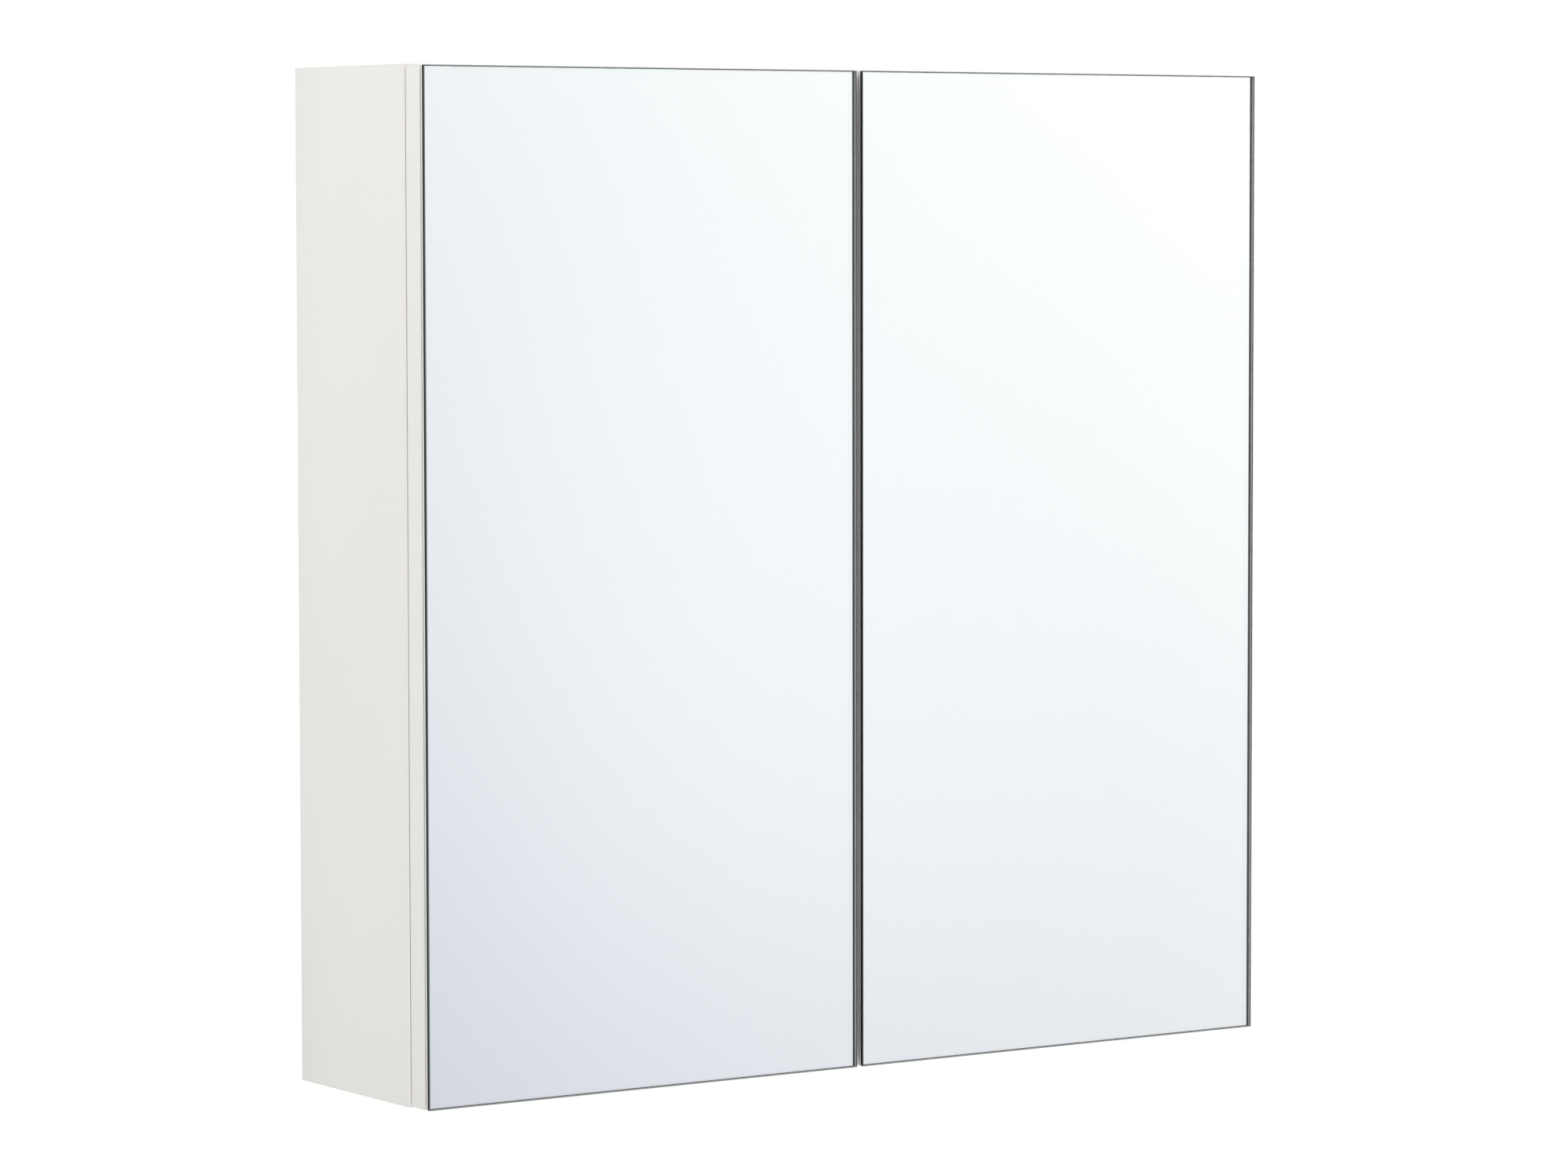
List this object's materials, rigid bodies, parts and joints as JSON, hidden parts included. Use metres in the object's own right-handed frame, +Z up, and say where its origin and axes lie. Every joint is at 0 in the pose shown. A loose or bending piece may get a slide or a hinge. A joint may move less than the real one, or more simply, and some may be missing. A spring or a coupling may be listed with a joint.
{
  "type": "hanging wall cabinet",
  "caption": "Shallow square wall cabinet with frameless mirrored doors that swing outwards on concealed cup hinges, shelves inside and adjustable hangers.",
  "frame": {"origin": "on the wall plane, at mid-width, on the line where the two hooks lie on their wall plates, 50 mm below the top", "axes": "+X to the right of a person who faces the doors, +Y into the wall, +Z up"},
  "size_m": [0.6, 0.15, 0.6],
  "materials": {
    "carcass_board": "white melamine on chipboard, fine satin texture",
    "door_board": "white melamine on chipboard with a white edge band",
    "shelf_board": "white melamine on chipboard",
    "back_board": "thin white-faced hardboard",
    "mirror_glass": "silvered float glass with polished edges",
    "mounting_tape": "grey foam tape, double-sided",
    "clear_bumper": "clear soft door stop",
    "hinge_steel": "nickel-plated pressed steel",
    "hanger_steel": "zinc-plated steel",
    "pin_steel": "nickel-plated",
    "hanger_plastic": "white moulded plastic"
  },
  "bodies": {
    "cabinet": {"back_panel": "back_board", "bottom_panel": "carcass_board", "centre_partition": "carcass_board", "hanger_housing_left": "hanger_plastic", "hanger_housing_right": "hanger_plastic", "hanger_screw_left_lower": "hanger_steel", "hanger_screw_left_upper": "hanger_steel", "hanger_screw_right_lower": "hanger_steel", "hanger_screw_right_upper": "hanger_steel", "hinge_arm_left_lower": "hinge_steel", "hinge_arm_left_upper": "hinge_steel", "hinge_arm_right_lower": "hinge_steel", "hinge_arm_right_upper": "hinge_steel", "hinge_plate_left_lower": "hinge_steel", "hinge_plate_left_upper": "hinge_steel", "hinge_plate_right_lower": "hinge_steel", "hinge_plate_right_upper": "hinge_steel", "shelf_left_lower": "shelf_board", "shelf_left_upper": "shelf_board", "shelf_pin_left_lower_front": "pin_steel", "shelf_pin_left_lower_rear": "pin_steel", "shelf_pin_left_upper_front": "pin_steel", "shelf_pin_left_upper_rear": "pin_steel", "shelf_pin_middle_lower_front": "pin_steel", "shelf_pin_middle_lower_rear": "pin_steel", "shelf_pin_middle_upper_front": "pin_steel", "shelf_pin_middle_upper_rear": "pin_steel", "shelf_pin_right_lower_front": "pin_steel", "shelf_pin_right_lower_rear": "pin_steel", "shelf_pin_right_upper_front": "pin_steel", "shelf_pin_right_upper_rear": "pin_steel", "shelf_right_lower": "shelf_board", "shelf_right_upper": "shelf_board", "side_panel_left": "carcass_board", "side_panel_right": "carcass_board", "top_panel": "carcass_board"},
    "door_left": {"door_board_left": "door_board", "door_bumper_left_lower": "clear_bumper", "door_bumper_left_upper": "clear_bumper", "hinge_cup_left_lower": "hinge_steel", "hinge_cup_left_upper": "hinge_steel", "hinge_pin_left_lower": "hinge_steel", "hinge_pin_left_upper": "hinge_steel", "mirror_left": "mirror_glass", "mirror_tape_left": "mounting_tape"},
    "door_right": {"door_board_right": "door_board", "door_bumper_right_lower": "clear_bumper", "door_bumper_right_upper": "clear_bumper", "hinge_cup_right_lower": "hinge_steel", "hinge_cup_right_upper": "hinge_steel", "hinge_pin_right_lower": "hinge_steel", "hinge_pin_right_upper": "hinge_steel", "mirror_right": "mirror_glass", "mirror_tape_right": "mounting_tape"},
    "hanger_left": {"hanger_hook_left": "hanger_steel", "wall_plate_left": "hanger_steel"},
    "hanger_right": {"hanger_hook_right": "hanger_steel", "wall_plate_right": "hanger_steel"}
  },
  "joints": [
    {"name": "left_door_swing", "type": "hinge", "parent": "cabinet", "child": "door_left", "pos_m": [-0.293, -0.1386, -0.25], "axis": [0, 0, -1], "range_deg": [0, 95]},
    {"name": "right_door_swing", "type": "hinge", "parent": "cabinet", "child": "door_right", "pos_m": [0.293, -0.1386, -0.25], "axis": [0, 0, 1], "range_deg": [0, 95]},
    {"name": "left_hanger_height", "type": "slide", "parent": "cabinet", "child": "hanger_left", "axis": [0, 0, 1], "range_m": [-0.004, 0.004]},
    {"name": "right_hanger_height", "type": "slide", "parent": "cabinet", "child": "hanger_right", "axis": [0, 0, 1], "range_m": [-0.004, 0.004]}
  ]
}
